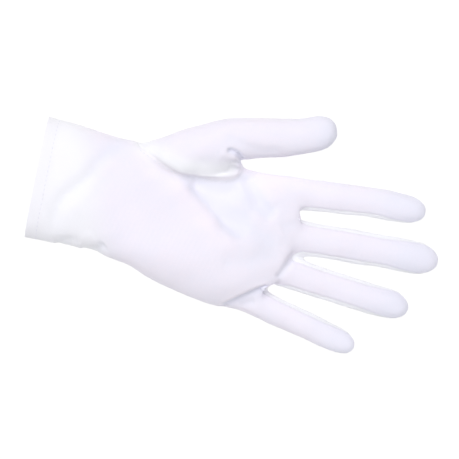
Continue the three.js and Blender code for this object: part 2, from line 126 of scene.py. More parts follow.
# The camera looks straight down; a dome and one warmer lamp light the glove.
viewing = {
    "centre": (114.5, -7.6),  # what the camera looks straight down on
    "span": 264,  # width of the view at the glove
    "roll": 11.45,  # degrees that the glove's long axis is turned in the view
    "distance": 1.6,
    "sensor": 36,
    "lift": 0.02,  # the distance is measured from this height
}
lighting = {
    "zenith": 1.1,  # strength of the dome high up; it falls to nothing at the horizon
    "fullFrom": 0.9,  # height on the unit dome where it has its full strength
    "domeColour": (0.94, 0.953, 1.0, 1),
    "keyPlace": (-0.5, 0.68, 1.35),
    "keySize": (1.0, 0.8),
    "keyPower": 8.7,
    "keyColour": (1.0, 0.975, 0.985),
}


def placeCamera():
    cam = bpy.data.objects.new("camera", bpy.data.cameras.new("camera"))
    bpy.context.scene.collection.objects.link(cam)
    cam.data.sensor_width = viewing["sensor"]
    cam.data.lens = viewing["sensor"] * viewing["distance"] / (viewing["span"] * mm)
    spot = onGlove(*viewing["centre"])
    cam.location = (spot.x, spot.y, viewing["distance"] + viewing["lift"])
    cam.rotation_euler = (0, 0, math.radians(viewing["roll"]))
    bpy.context.scene.camera = cam


def placeLight():
    lamp = bpy.data.lights.new("key", "AREA")
    lamp.shape = "RECTANGLE"
    lamp.size, lamp.size_y = lighting["keySize"]
    lamp.energy = lighting["keyPower"]
    lamp.color = lighting["keyColour"]
    obj = bpy.data.objects.new("key", lamp)
    bpy.context.scene.collection.objects.link(obj)
    turn = Matrix.Rotation(math.radians(viewing["roll"]), 3, "Z")
    obj.location = turn @ Vector(lighting["keyPlace"])
    obj.rotation_mode = "QUATERNION"
    obj.rotation_quaternion = (-obj.location).to_track_quat("-Z", "Y")


def placeDome():
    world = bpy.data.worlds.new("studio")
    bpy.context.scene.world = world
    sky = Shader(world, "Background")
    direction = sky.node("ShaderNodeTexCoord", output="Generated")
    height = sky.node("ShaderNodeSeparateXYZ", output="Z", inputs={0: direction})
    strength = sky.node(
        "ShaderNodeMapRange", interpolation_type="SMOOTHSTEP",
        inputs={
            "Value": height, "From Min": 0.0, "From Max": lighting["fullFrom"],
            "To Min": 0.0, "To Max": lighting["zenith"],
        },
    )
    sky.connect(sky.surface, {"Color": lighting["domeColour"], "Strength": strength})


placeCamera()
placeLight()
placeDome()
bpy.context.scene.view_settings.view_transform = "Standard"
print("camera and lights placed")

# The hand shape that the glove is stretched over.
digits = {
    "index": {
        "width": (18.9, 17.7), "height": (17.4, 14.6),  # at the root and near the tip
        "rise": 7,  # how much the tip stands up
        "hinge": 12,  # the root hinge is this far past the root line
        "back": 26,  # how far the shape runs on inside the palm
        "overrun": 1.5,  # what smoothing takes off the tip
        "blunt": 2.3,  # how square the tip is; 2 is round
        "bends": ((2.5, 22), (23, 43)),  # spans about each hinge; the sleeve starts where the first begins, the tip midway between the two
        # how far its axis bows to the thumb side, by distance along
        "bow": [(0, 0), (22, 0.3), (40, 0.5), (58, -0.2), (68, -0.9)],
    },
    "middle": {
        "width": (20.4, 19.8), "height": (18.0, 15.2), "rise": 7, "hinge": 12, "back": 26,
        "overrun": 0.8, "blunt": 2.3, "bends": ((2.5, 23), (24.5, 45)),
        "bow": [(0, -0.2), (40, 0.1), (70, -0.2)],
    },
    "ring": {
        "width": (19.2, 18.2), "height": (17.4, 14.6), "rise": 7, "hinge": 12, "back": 26,
        "overrun": 1.4, "blunt": 2.3, "bends": ((4.7, 21.5), (22.5, 43)),
        "bow": [(0, 0.2), (30, -0.1)],
    },
    "little": {
        "width": (17.2, 15.8), "height": (15.6, 13.2), "rise": 9, "hinge": 11, "back": 22,
        "overrun": 0.8, "blunt": 2.3, "bends": ((5.5, 19), (19.5, 37)),
        "bow": [(0, -0.4), (30, -0.8)],
    },
    "thumb": {
        "width": (25.2, 21.2), "height": (20.4, 17.2), "rise": 5, "hinge": 11, "back": 4,
        "overrun": 1.2, "blunt": 3.2, "bends": ((2, 19.5), (20.5, 40)),
        "bow": [(0, 1.8), (10, 1.2), (20, 0.2), (29, -0.1), (38, 0.4), (50, 1.6)],
    },
}
hingeRaise = 3.5  # the hinges lie this far to the palm side of a sleeve's middle
tipLength = 0.88  # length of a rounded tip, as a share of its width


class Digit:
    # The axis, section and reach of a finger or the thumb, worked out from its two hinges.
    def __init__(self, name):
        self.spec = digits[name]
        first, second = (joints[name + end] for end in ("_knuckle", "_bend"))
        step = Vector(second["pos_m"]) - Vector(first["pos_m"])
        self.along = Vector((step.x, step.y, 0)).normalized()
        self.across = Vector((-self.along.y, self.along.x, 0))
        bendUp = Vector(first["axis"]).cross(self.along)
        bendUp *= math.copysign(1, bendUp.z)
        self.root = Vector(first["pos_m"]) - bendUp * hingeRaise * mm
        self.root = self.root - self.along * self.spec["hinge"] * mm
        tips = [n for n in frame["nodes"] if n.startswith(name + "_tip")]
        corners = [v.co for n in tips for v in frame["nodes"][n].data.vertices]
        reach = max((corner - self.root).dot(self.along) for corner in corners)
        self.length = reach / mm + self.spec["overrun"]
        self.dome = tipLength * self.spec["width"][1]
        self.bow, self.blunt = self.spec["bow"], self.spec["blunt"]

    def lift(self, t):
        # height of the axis over its root hinge, t millimetres along
        return self.spec["rise"] * (np.maximum(0, t) ** 2 - self.spec["hinge"] ** 2) / self.length**2

    def middle(self, t):
        aside = self.across * float(np.interp(t, *zip(*self.bow)))
        return self.root + (self.along * t + aside + Vector((0, 0, float(self.lift(t))))) * mm

    def halves(self, t):
        share = np.clip(t / (self.length - self.dome), 0, 1)
        tip = np.clip((t - self.length + self.dome) / self.dome, 0, 1)
        wide, high = (np.interp(share, (0, 1), self.spec[side]) / 2 for side in ("width", "height"))
        return wide * np.sqrt(1 - tip**self.blunt), high * np.sqrt(1 - tip ** (self.blunt + 0.2))

    def local(self, points):
        # millimetres along the axis, to the thumb side of it and up from it
        away = (points - np.array(self.root)) / mm
        t = away @ np.array(self.along)
        side = away @ np.array(self.across) - np.interp(t, *zip(*self.bow))
        return t, side, away[:, 2] - self.lift(t)


hand = {name: Digit(name) for name in digits}
fingers = [name for name in digits if name != "thumb"]

palmRings = [
    # x, middle y, half width, underside, top, share of the knuckle line's slant
    (-14, 0.3, 36.4, 1.8, 35.2, 0),
    (0, 0.1, 35.9, 1.8, 34.9, 0),
    (14, -0.2, 35.3, 0.8, 34.2, 0),
    (28, -1.0, 34.7, 0.0, 33.2, 0),
    (40, -1.9, 34.4, 0.0, 32.2, 0),
    (50, -2.9, 34.6, 0.0, 31.2, 0),
    (62, -4.6, 35.2, 0.0, 30.2, 0),
    (75, -7.4, 37.4, 0.0, 29.2, 0),
    (90, -9.6, 39.4, 0.0, 28.2, 0),
    (106, -11.2, 40.6, 0.0, 27.4, 0.1),
    (121, -11.8, 41.0, 0.0, 26.2, 0.4),
    (136, -11.8, 41.2, 0.2, 23.8, 0.75),
    (146, -11.8, 41.2, 0.8, 21.8, 1.0),
    (152, -11.8, 41.0, 2.2, 19.9, 1.0),
]
knuckleLine = [
    # y, and the x where the palm ends there
    (-58, 127), (-53, 131), (-36, 151.5), (-25, 154), (-14.5, 156),
    (-3, 156), (8.5, 160.5), (20, 153), (29.5, 149), (36, 147),
]
knuckleMean = 155  # x of the knuckle line without its slant
thenarRings = [
    # distance back from the thumb's root, shift to the palm, half width, middle height, half height
    (64, 3.6, 4.4, 18.5, 6.0),
    (56, 3.0, 8.8, 18.8, 9.5),
    (46, 3.6, 11.2, 19.0, 11.6),
    (34, 3.2, 14.0, 19.4, 13.0),
    (20, 1.6, 15.2, 20.6, 12.8),
    (9, -0.6, 14.2, 22.2, 11.2),
    (2, -2.0, 12.4, 23.0, 10.2),
]
webForm = {"place": (110.2, 31, 19.5), "reach": (5.6, 6, 8)}  # middle and half widths
swellings = [
    # x, y, spread along and across, rise of the palm's surface
    (82, -30, 30, 15, 3.6),
    (98, 2, 22, 15, -3.2),
    (138, 18, 13, 9, 0.9),
    (136, -4, 12, 8, 0.4),
    (132, -25, 14, 9, 0.7),
    (120, -40, 16, 10, 1.8),
    (22, 4, 26, 26, 0.8),
]
swellLimits = {
    "from": 14, "over": 10,  # heights where they come in
    "end": 160, "endOver": 8,  # x where they end, and over what length
}
formGrid = {
    "voxel": 1.4,
    "smoothing": 16,
    "ringPoints": 32,
    "squareness": 0.84,  # of the palm's rings; 1 is an ellipse
    "fingerSquareness": 0.93,
    "tipRings": (0.2, 1.53, 9),  # angles of the first and last ring of a tip, and how many there are
}


def addRing(bm, place, sideways, upward, squareness=1.0):
    made = bmesh.ops.create_circle(bm, radius=1, segments=formGrid["ringPoints"])["verts"]
    for v in made:
        v.co.x = math.copysign(abs(v.co.x) ** squareness, v.co.x)
        v.co.y = math.copysign(abs(v.co.y) ** squareness, v.co.y)
    facing = sideways.cross(upward).normalized()
    turn = Matrix((sideways, upward, facing)).transposed().to_4x4()
    bmesh.ops.transform(bm, matrix=Matrix.Translation(place) @ turn, verts=made)
    return made


def loft(bm, rings):
    edges = [list({e for v in ring for e in v.link_edges}) for ring in rings]
    bmesh.ops.contextual_create(bm, geom=edges[0])
    bmesh.ops.contextual_create(bm, geom=edges[-1])
    for a, b in zip(edges, edges[1:]):
        bmesh.ops.bridge_loops(bm, edges=a + b)


def addDigitForm(bm, digit):
    up = Vector((0, 0, 1))
    stations = [-digit.spec["back"], 0, 10, 20]
    stations += list(np.linspace(30, digit.length - digit.dome, 4))
    angles = np.linspace(*formGrid["tipRings"])
    stations += [digit.length - digit.dome * math.cos(a) for a in angles]
    rings = []
    for t in stations:
        wide, high = digit.halves(t)
        sideways, upward = digit.across * wide * mm, up * high * mm
        rings.append(addRing(bm, digit.middle(t), sideways, upward, formGrid["fingerSquareness"]))
    loft(bm, rings)


def addThenarForm(bm):
    thumb = hand["thumb"]
    rings = []
    for back, shift, half, middle, high in thenarRings:
        place = thumb.root - (thumb.along * back + thumb.across * shift) * mm
        place.z = middle * mm
        rings.append(addRing(bm, place, thumb.across * half * mm, Vector((0, 0, high * mm))))
    loft(bm, rings)


def addWebForm(bm):
    # the cloth that spans the crotch of the thumb
    made = bmesh.ops.create_icosphere(bm, subdivisions=3, radius=mm)["verts"]
    bmesh.ops.scale(bm, vec=webForm["reach"], verts=made)
    bmesh.ops.translate(bm, vec=onGlove(*webForm["place"]), verts=made)


def addPalmForm(bm):
    rings = []
    for x, y, half, low, top, slant in palmRings:
        place = onGlove(x, y, (low + top) / 2)
        sideways, upward = Vector((0, half * mm, 0)), Vector((0, 0, (top - low) / 2 * mm))
        ring = addRing(bm, place, sideways, upward, formGrid["squareness"])
        for v in ring:
            lineX = np.interp((v.co.y - cuffEdge.y) / mm, *zip(*knuckleLine))
            v.co.x += slant * (lineX - knuckleMean) * mm
        rings.append(ring)
    loft(bm, rings)


def newObject(name, bm):
    mesh = bpy.data.meshes.new(name)
    bm.to_mesh(mesh)
    bm.free()
    obj = bpy.data.objects.new(name, mesh)
    bpy.context.scene.collection.objects.link(obj)
    return obj


def applyModifiers(obj):
    shaped = obj.evaluated_get(bpy.context.evaluated_depsgraph_get())
    mesh = bpy.data.meshes.new_from_object(shaped)
    obj.modifiers.clear()
    old = obj.data
    obj.data = mesh
    bpy.data.meshes.remove(old)


def makeForm():
    bm = bmesh.new()
    addPalmForm(bm)
    addThenarForm(bm)
    addWebForm(bm)
    for digit in hand.values():
        addDigitForm(bm, digit)
    bmesh.ops.recalc_face_normals(bm, faces=bm.faces)
    obj = newObject("form", bm)
    remesh = obj.modifiers.new("skin", "REMESH")
    remesh.mode = "VOXEL"
    remesh.voxel_size = formGrid["voxel"] * mm
    applyModifiers(obj)
    bm = bmesh.new()
    bm.from_mesh(obj.data)
    for _ in range(formGrid["smoothing"]):
        bmesh.ops.smooth_vert(
            bm, verts=bm.verts, factor=0.5, use_axis_x=True, use_axis_y=True, use_axis_z=True
        )
    bmesh.ops.bisect_plane(
        bm, geom=bm.verts[:] + bm.edges[:] + bm.faces[:], dist=1e-6,
        plane_co=cuffEdge, plane_no=(-1, 0, 0), clear_outer=True,
    )
    bm.to_mesh(obj.data)
    bm.free()
    fine = obj.modifiers.new("fine", "SUBSURF")
    fine.levels = fine.render_levels = 1
    applyModifiers(obj)
    return obj


def readTriples(items, key):
    flat = np.empty(len(items) * 3)
    items.foreach_get(key, flat)
    return flat.reshape(-1, 3)


def readNumbers(items, key, each=1):
    flat = np.empty(len(items) * each, int)
    items.foreach_get(key, flat)
    return flat


def readPoints(mesh):
    return readTriples(mesh.vertices, "co")


def writePoints(mesh, points):
    mesh.vertices.foreach_set("co", points.ravel())
    mesh.update()


def toGlove(points):
    return (points - np.array(cuffEdge)) / mm


def eased(value):
    value = np.clip(value, 0, 1)
    return value * value * (3 - 2 * value)


def swell(mesh):
    points = readPoints(mesh)
    places = toGlove(points)
    rise = sum(
        up * np.exp(-(((places[:, 0] - x) / along) ** 2) - ((places[:, 1] - y) / across) ** 2)
        for x, y, along, across, up in swellings
    )
    onPalm = eased((places[:, 2] - swellLimits["from"]) / swellLimits["over"])
    beforeFingers = eased((swellLimits["end"] - places[:, 0]) / swellLimits["endOver"])
    points[:, 2] += rise * onPalm * beforeFingers * mm
    points[:, 2] = np.maximum(points[:, 2], 0)
    writePoints(mesh, points)


form = makeForm()
swell(form.data)
print("form made:", len(form.data.vertices), "points")

# Which piece of cloth covers each face.
seams = {
    "middle": [(0, 18), (50, 16), (100, 13.5), (155, 12.5)],  # height of the hand's side seam by x
    "thumbPalm": [  # x and y of the thumb seam on the palm
        (50.4, 33.2), (54.6, 28.7), (61.1, 25.9), (69.4, 22.3), (77, 19.7), (81.8, 18.9),
        (91.8, 18.9), (103.2, 20.1), (109.3, 21.3), (113.0, 24), (114.5, 28),
    ],
    "thumbBack": [  # x and height of the thumb seam on the radial side
        (50, 19), (56, 13), (64, 9.5), (80, 7.5), (104, 8), (116, 11),
    ],
    "thumbFrom": 50.4,  # x where the thumb's cloth starts
    "web": (114.5, 32.4),  # beyond this x the thumb is all that lies past this y
    "thumbPast": 2,  # the thumb's cloth may lie this far past its tip
    "thumbTilt": 0.25,  # slope of the seam between the thumb's inner and outer halves
    "strip": 38,  # half angle of a finger's side strip, in degrees
    "stripTip": 0.9,  # share by which the strip narrows at the fingertip
    "stripBehind": 0.75,  # share by which it narrows behind the sleeve
    "gusset": 9,  # a side strip runs on this far behind the sleeve
    "gussetAside": 0.6,  # half widths from the axis where a gusset starts
    "fingerAside": 1.3,  # half widths from the axis where a finger's cloth ends
}
sewnLater = ("cuff_hem", "cuff_hem_thread", "thumb_seam_thread")
pieceNames = set(frame["nodes"]) - set(sewnLater)


def stripAngle(digit, t):
    # the strip narrows to a point at the fingertip, and behind the sleeve in the palm
    start = digit.spec["bends"][0][0]
    behind = np.clip((start - t) / seams["gusset"], 0, 1)
    ahead = eased((t - digit.length + 2 * digit.dome) / (2 * digit.dome))
    return seams["strip"] * (1 - seams["stripTip"] * ahead) * (1 - seams["stripBehind"] * behind)


def jointLines(digit):
    # where its sleeve starts, and where its tip does
    (start, bendEnd), (nextBend, _) = digit.spec["bends"]
    return start, (bendEnd + nextBend) / 2


def labelFaces(mesh):
    centres = readTriples(mesh.polygons, "center")
    x, y, z = toGlove(centres).T
    onPalm = z > np.interp(x, *zip(*seams["middle"]))
    label = np.where(onPalm, "palm_panel", "back_panel").astype(object)
    nearest = np.full(len(x), seams["fingerAside"])
    for n, name in enumerate(fingers):
        digit = hand[name]
        t, side, up = digit.local(centres)
        wide, high = digit.halves(np.minimum(t, digit.length - 1))
        start, split = jointLines(digit)
        aside = np.abs(side) / digit.spec["width"][0] * 2
        near = (aside < nearest) & (t > start - seams["gusset"])
        nearest = np.where(near, aside, nearest)
        outward = np.abs(side) / np.maximum(wide, 1)
        angle = np.degrees(np.arctan2(up / np.maximum(high, 1), outward))
        strip = np.abs(angle) < stripAngle(digit, t)
        hasStrip = np.where(side > 0, n > 0, n < len(fingers) - 1)
        sideName = np.where(side > 0, "thumb_side", "outer_side")
        where = np.where(strip & hasStrip, sideName, np.where(up > 0, "front", "back"))
        sleeve = near & (t > start)
        label = np.where(sleeve & (t <= split), [name + "_" + w for w in where], label)
        label = np.where(sleeve & (t > split), [name + "_tip_" + w for w in where], label)
        before, after = fingers[max(0, n - 1) : n + 1], fingers[n : n + 2]
        between = np.where(side > 0, "_".join(before), "_".join(after))
        inside = np.abs(side) > seams["gussetAside"] * wide
        crotch = near & (t <= start) & strip & hasStrip & inside
        label = np.where(crotch, [b + "_gusset" for b in between], label)
    thumb = hand["thumb"]
    t, side, up = thumb.local(centres)
    webX, webY = seams["web"]
    past = (y > np.interp(x, *zip(*seams["thumbPalm"]))) & (z > np.interp(x, *zip(*seams["thumbBack"])))
    onHand = (x > seams["thumbFrom"]) & (x < webX) & past
    onThumb = onHand | ((x >= webX) & (y > webY) & (t < thumb.length + seams["thumbPast"]))
    start, split = jointLines(thumb)
    half = np.where(up > side * seams["thumbTilt"], "inner", "outer")
    label = np.where(onThumb, "thumb_root", label)
    label = np.where(onThumb & (t > start) & (t <= split), ["thumb_" + h for h in half], label)
    return np.where(onThumb & (t > split), ["thumb_tip_" + h for h in half], label)


label = labelFaces(form.data)
found = sorted(set(label))
print("cloth pieces:", len(found), "missing:", sorted(pieceNames - set(found)))

# Each line between two pieces is evened out on the surface.
families = {"palm_panel": "front", "back_panel": "back"}


def family(name):
    if name in families:
        return families[name]
    if name.startswith("thumb"):
        return "thumb"
    return "strip" if name.endswith(("side", "gusset")) else name.rsplit("_", 1)[1]


class Net:
    # The edges of a mesh as number pairs, with the faces on both sides of each.
    def __init__(self, mesh, label):
        loops = readNumbers(mesh.loops, "edge_index")
        sizes = readNumbers(mesh.polygons, "loop_total")
        owner = np.repeat(np.arange(len(sizes)), sizes)
        order = np.argsort(loops, kind="stable")
        loops, owner = loops[order], owner[order]
        shared = np.nonzero(loops[1:] == loops[:-1])[0]
        self.edges = readNumbers(mesh.edges, "vertices", 2).reshape(-1, 2)
        self.sides = np.stack([owner[shared], owner[shared + 1]], axis=1)
        self.inner = self.edges[loops[shared]]
        code = np.unique(label.astype(str), return_inverse=True)[1]
        self.parts = self.inner[code[self.sides[:, 0]] != code[self.sides[:, 1]]]
        kind = np.unique([family(n) for n in label], return_inverse=True)[1]
        self.sewn = self.inner[kind[self.sides[:, 0]] != kind[self.sides[:, 1]]]
        once = np.ones(len(mesh.edges), bool)
        once[loops[shared]] = False
        self.rim = np.unique(self.edges[once])


evening = {
    "linePasses": 14,
    "rings": 3,  # rows of points beside a seam that move along with it
    "clothPasses": 4,
    "step": 0.5,
}


def averaged(points, edges):
    # the mean of each point's neighbours along these edges, and how many there are
    total, count = np.zeros_like(points), np.zeros(len(points))
    for a, b in ((0, 1), (1, 0)):
        np.add.at(total, edges[:, a], points[edges[:, b]])
        np.add.at(count, edges[:, a], 1)
    return total / np.maximum(count, 1)[:, None], count


def surfaceOf(mesh):
    corners = [tuple(p) for p in readPoints(mesh)]
    return BVHTree.FromPolygons(corners, [tuple(p.vertices) for p in mesh.polygons])


def evenSeams(mesh, net):
    points = readPoints(mesh)
    surface = surfaceOf(mesh)
    fixed = np.zeros(len(points), bool)
    fixed[net.rim] = True
    _, count = averaged(points, net.parts)
    onLine = (count == 2) & ~fixed
    for _ in range(evening["linePasses"]):
        mean, _ = averaged(points, net.parts)
        points[onLine] += evening["step"] * (mean - points)[onLine]
    near = count > 0
    for _ in range(evening["rings"]):
        spread = near.copy()
        spread[net.edges[near[net.edges[:, 0]], 1]] = True
        spread[net.edges[near[net.edges[:, 1]], 0]] = True
        near = spread
    loose = near & (count == 0) & ~fixed
    for _ in range(evening["clothPasses"]):
        mean, _ = averaged(points, net.edges)
        points[loose] += evening["step"] * (mean - points)[loose]
    for i in np.nonzero(loose | onLine)[0]:
        points[i] = surface.find_nearest(Vector(points[i]))[0]
    writePoints(mesh, points)


net = Net(form.data, label)
evenSeams(form.data, net)
print("seams evened")

# Folds, creases and seam grooves.
palmCrease = [
    (78, 19.5), (86, 13.6), (90.3, 10.2), (97.3, 4.7), (104.3, -1), (116, -9), (126, -13),
]
littleRoot = [
    (117, -54), (122, -50), (128.2, -45.4), (135.8, -39.6), (140.5, -36.8), (144.5, -35.2),
]
folds = [
    # kind; how wide; how deep, where less than 0 stands up; its line in x and y.
    # At a step the cloth on the left of the line stands over the cloth on its right.
    ("valley", 5.0, 1.5, [(50, 31), (38.3, 22.4), (30.2, 6), (20.8, -6.9), (16, -16), (13.6, -32)]),
    ("valley", 6.0, -0.3, [(46, 22), (36, 10), (30, -6), (24, -18)]),
    ("valley", 3.4, 0.3, [(52, 27), (46, 15), (38, 4), (33, -8)]),
    ("valley", 3.0, 1.9, [(33, -37.5), (38, -36), (43, -34), (47, -30)]),
    ("valley", 3.4, -0.5, [(27, -33), (33, -30), (38, -25)]),
    ("valley", 2.6, 1.0, [(17, -35.5), (24, -32.5), (33, -31)]),
    ("valley", 4.6, 1.0, palmCrease),
    ("step", 9.5, -1.6, palmCrease),
    ("valley", 4.5, 1.7, [(86, 13.4), (94, 12), (101.6, 11.4), (110, 13.4), (117, 19)]),
    (
        "step", 3.0, 1.2,
        [(74, 20.6), (84, 18.6), (91.8, 18.4), (103.2, 19.5), (109.5, 20.8), (113.6, 24), (115, 29)],
    ),
    ("valley", 5.0, 2.0, [(117, 27), (122.9, 18), (130, 9.9), (140, 4)]),
    ("valley", 6.0, -0.3, [(127, 26), (133, 19), (140, 13)]),
    ("valley", 6.0, 1.1, [(104, -6), (118, -4), (130, -6), (143, -12)]),
    ("valley", 5.5, 0.8, [(112, -28), (124, -24), (135, -20), (146, -13)]),
    ("valley", 1.8, 2.3, littleRoot),
    ("step", 3.0, 1.3, littleRoot),
    ("valley", 2.0, 0.55, [(128, -51), (133, -47.5), (138, -46)]),
    ("valley", 2.2, 1.3, [(156, -15.4), (152.3, -19.5), (149.5, -25.5), (147, -31)]),
    ("valley", 3.4, 0.6, [(156, 8), (150, 3), (143, -2)]),
    ("valley", 3.4, 0.3, [(154, -13), (147, -11), (139, -11)]),
    ("valley", 3.0, 0.28, [(178, 14), (179.5, 22), (179, 31)]),
    ("valley", 3.4, 0.18, [(184, -12), (186, -4), (185, 5)]),
    ("valley", 3.4, 0.2, [(176, -36), (179, -28), (178, -20)]),
    ("valley", 3.0, 0.2, [(161, -59), (165, -52), (166, -45)]),
    ("valley", 1.4, 3.0, [(103.5, 36.8), (108.6, 36), (112.2, 34.2), (115.2, 31.8), (121.5, 30.4)]),
    ("valley", 1.0, 0.9, [(107, 31), (111, 30.4), (115, 29.6)]),
    ("valley", 1.0, 0.7, [(106, 27), (110.5, 27), (114.6, 27.4)]),
    ("valley", 3.4, 0.8, [(100, 46), (108, 42.4), (116, 40.6), (126, 40.4), (138, 43.5)]),
    ("valley", 3.0, -0.7, [(100, 33), (106, 33), (111, 32)]),
    (
        "valley", 4.2, -2.6,
        [(62, 29), (70, 25), (78, 22.1), (86, 21.1), (98, 21.6), (106, 23.6), (110.5, 28)],
    ),
]
foldShape = {
    "reach": 3,  # widths to each side
    "above": 9,  # height where the palm side starts
    "over": 8,  # the folds come in over this much height
    "fade": 0.16,  # share of the line that each end takes to fade
    "edge": 0.3,  # widths that a step takes to cross its line
    "lowSide": 2.2,  # the low side of a step recovers this much more slowly
}
sewing = {
    "groove": 0.36, "grooveWidth": 0.7,
    "welt": 0.13, "weltAt": 1.8, "weltWidth": 1.0,
    "weltFrom": 142, "weltOver": 12,  # the welt stands up on the fingers only
    "pucker": 3.1, "puckerShare": 0.45, "puckerSlant": 0.6,
}
cuffCalm = {"from": 0.5, "over": 6, "share": 0.9, "least": 0.1}  # the cuff's edge stays nearly even
waves = [
    # direction in x, y and z, wavelength, height and phase of the cloth's slight unevenness
    ((0.9, 0.35, 0.2), 27, 0.14, 0.4),
    ((0.3, -0.9, 0.3), 33, 0.16, 2.1),
    ((0.7, -0.7, 0.1), 13, 0.05, 1.3),
    ((-0.5, 0.8, 0.4), 18, 0.06, 5.2),
]


def curveThrough(line, steps=14):
    # Catmull-Rom through the points of a line, as an array
    p = np.array(line, float)
    p = np.vstack([2 * p[0] - p[1], p, 2 * p[-1] - p[-2]])
    s = np.linspace(0, 1, steps, endpoint=False)[:, None]
    runs = []
    for a, b, c, d in zip(p, p[1:], p[2:], p[3:]):
        square, cube = 2 * a - 5 * b + 4 * c - d, 3 * b - a - 3 * c + d
        runs.append(0.5 * (2 * b + (c - a) * s + square * s**2 + cube * s**3))
    return np.vstack(runs + [p[-2:-1]])


def foldHeight(places, fold):
    # how far the fold moves the palm side's cloth at each place, in millimetres
    kind, width, depth, line = fold
    path = curveThrough(line)
    reach = foldShape["reach"] * width
    low, high = path.min(0) - reach, path.max(0) + reach
    close = np.all((places[:, :2] > low) & (places[:, :2] < high), axis=1)
    close &= places[:, 2] > foldShape["above"]
    height = np.zeros(len(places))
    if not close.any():
        return height
    spot = places[close, :2]
    gaps = spot[:, None, :] - path[None, :, :]
    nearest = np.argmin((gaps**2).sum(2), axis=1)
    run = np.gradient(path, axis=0)
    run /= np.linalg.norm(run, axis=1)[:, None]
    gap = gaps[np.arange(len(spot)), nearest]
    away = run[nearest, 0] * gap[:, 1] - run[nearest, 1] * gap[:, 0]
    past = (run[nearest] * gap).sum(1)
    share = nearest / (len(path) - 1)
    ends = eased(share / foldShape["fade"]) * eased((1 - share) / foldShape["fade"])
    ends = ends * np.exp(-((past / width) ** 2))
    shape = np.exp(-((away / width) ** 2))
    if kind == "step":
        slowly = np.exp(-((away / width / foldShape["lowSide"]) ** 2))
        shape = np.where(away * depth < 0, slowly, shape)
        shape = -shape * np.tanh(away / (foldShape["edge"] * width))
    height[close] = -depth * shape * ends
    return height


def writeShare(mesh, name, value):
    mesh.attributes.new(name, "FLOAT", "POINT").data.foreach_set("value", value.astype(np.float32))


# Painted shade and highlight in the cloth's colour: a darker, bluer white in fold valleys and toward
# the fingertips, a lighter white on raised folds.
paintedShadeSpec = {
    "fold": 1.6,  # depth of a fold that gets the full painted shade
    "from": 0.35,  # share of a digit's length where painted shade starts darkening toward its tip
    "over": 0.6,
    "aside": 0.7,
    "range": (-0.5, 1),
}


def markPaintedShade(mesh, points, lift):
    # Painted shade: the cloth's white turns darker and bluer in fold valleys and toward the fingertips,
    # and lighter on raised folds as a painted highlight.
    painted_shade = np.clip(-lift / paintedShadeSpec["fold"], *paintedShadeSpec["range"])
    for digit in hand.values():
        t, side, _ = digit.local(points)
        inside = np.abs(side) < digit.spec["width"][0] * paintedShadeSpec["aside"]
        painted_shade += inside * eased((t / digit.length - paintedShadeSpec["from"]) / paintedShadeSpec["over"])
    writeShare(mesh, "painted_shade", np.clip(painted_shade, *paintedShadeSpec["range"]))


def shapeCloth(mesh, net):
    points, normals = readPoints(mesh), readTriples(mesh.vertices, "normal")
    places = toGlove(points)
    lift = sum(foldHeight(places, fold) for fold in folds)
    lift = lift * eased((places[:, 2] - foldShape["above"]) / foldShape["over"])
    # painted shade and highlight, from the fold depths and toward the fingertips
    markPaintedShade(mesh, points, lift)
    for direction, length, height, phase in waves:
        lift += height * np.sin(places @ np.array(direction) * 2 * math.pi / length + phase)
    seamPoints = np.unique(net.sewn)
    tree = KDTree(len(seamPoints))
    for i in seamPoints:
        tree.insert(Vector(places[i]), int(i))
    tree.balance()
    gap = np.array([tree.find(Vector(p))[2] for p in places])
    run = places[:, 0] + sewing["puckerSlant"] * places[:, 1]
    puckers = 1 + sewing["puckerShare"] * np.sin(run * 2 * math.pi / sewing["pucker"])
    lift += -sewing["groove"] * np.exp(-((gap / sewing["grooveWidth"]) ** 2))
    onFingers = eased((places[:, 0] - sewing["weltFrom"]) / sewing["weltOver"])
    beside = np.exp(-(((gap - sewing["weltAt"]) / sewing["weltWidth"]) ** 2))
    lift += sewing["welt"] * onFingers * puckers * beside
    fromEdge = eased((places[:, 0] - cuffCalm["from"]) / cuffCalm["over"])
    lift *= fromEdge * cuffCalm["share"] + cuffCalm["least"]
    points += normals * lift[:, None] * mm
    points[:, 2] = np.maximum(points[:, 2], 0)
    writePoints(mesh, points)


sheer = {"least": 0.25, "more": 0.75, "from": 24, "slant": 0.35, "over": 22}
slackness = 0.9  # how much less sheer slack cloth is
slackBand = {
    "width": 5.5,
    "above": 15,  # height
    "line": [(56, 31), (66, 27.5), (76, 24), (86, 23), (98, 23.5), (108, 26)],
}


def markStretch(mesh, net, label):
    # How sheer the cloth is pulled: little at the cuff, in the side strips and under the thumb's ball.
    places = toGlove(readPoints(mesh))
    run = places[:, 0] - sheer["from"] + sheer["slant"] * places[:, 1]
    value = sheer["least"] + sheer["more"] * eased(run / sheer["over"])
    band = curveThrough(slackBand["line"])[::3]
    gap = np.sqrt(((places[:, None, :2] - band[None, :, :]) ** 2).sum(2)).min(1)
    onBand = np.exp(-((gap / slackBand["width"]) ** 2)) * (places[:, 2] > slackBand["above"])
    value *= 1 - slackness * onBand
    slack = np.zeros(len(places))
    strips = np.array([family(name) == "strip" for name in label])
    corners = readNumbers(mesh.loops, "vertex_index")
    sizes = readNumbers(mesh.polygons, "loop_total")
    np.maximum.at(slack, corners, np.repeat(strips, sizes).astype(float))
    for _ in range(2):
        slack = 0.5 * slack + 0.5 * averaged(slack[:, None], net.edges)[0][:, 0]
    value *= 1 - slackness * slack
    writeShare(mesh, "stretch", value)


markStretch(form.data, net, label)
shapeCloth(form.data, net)
print("cloth shaped")

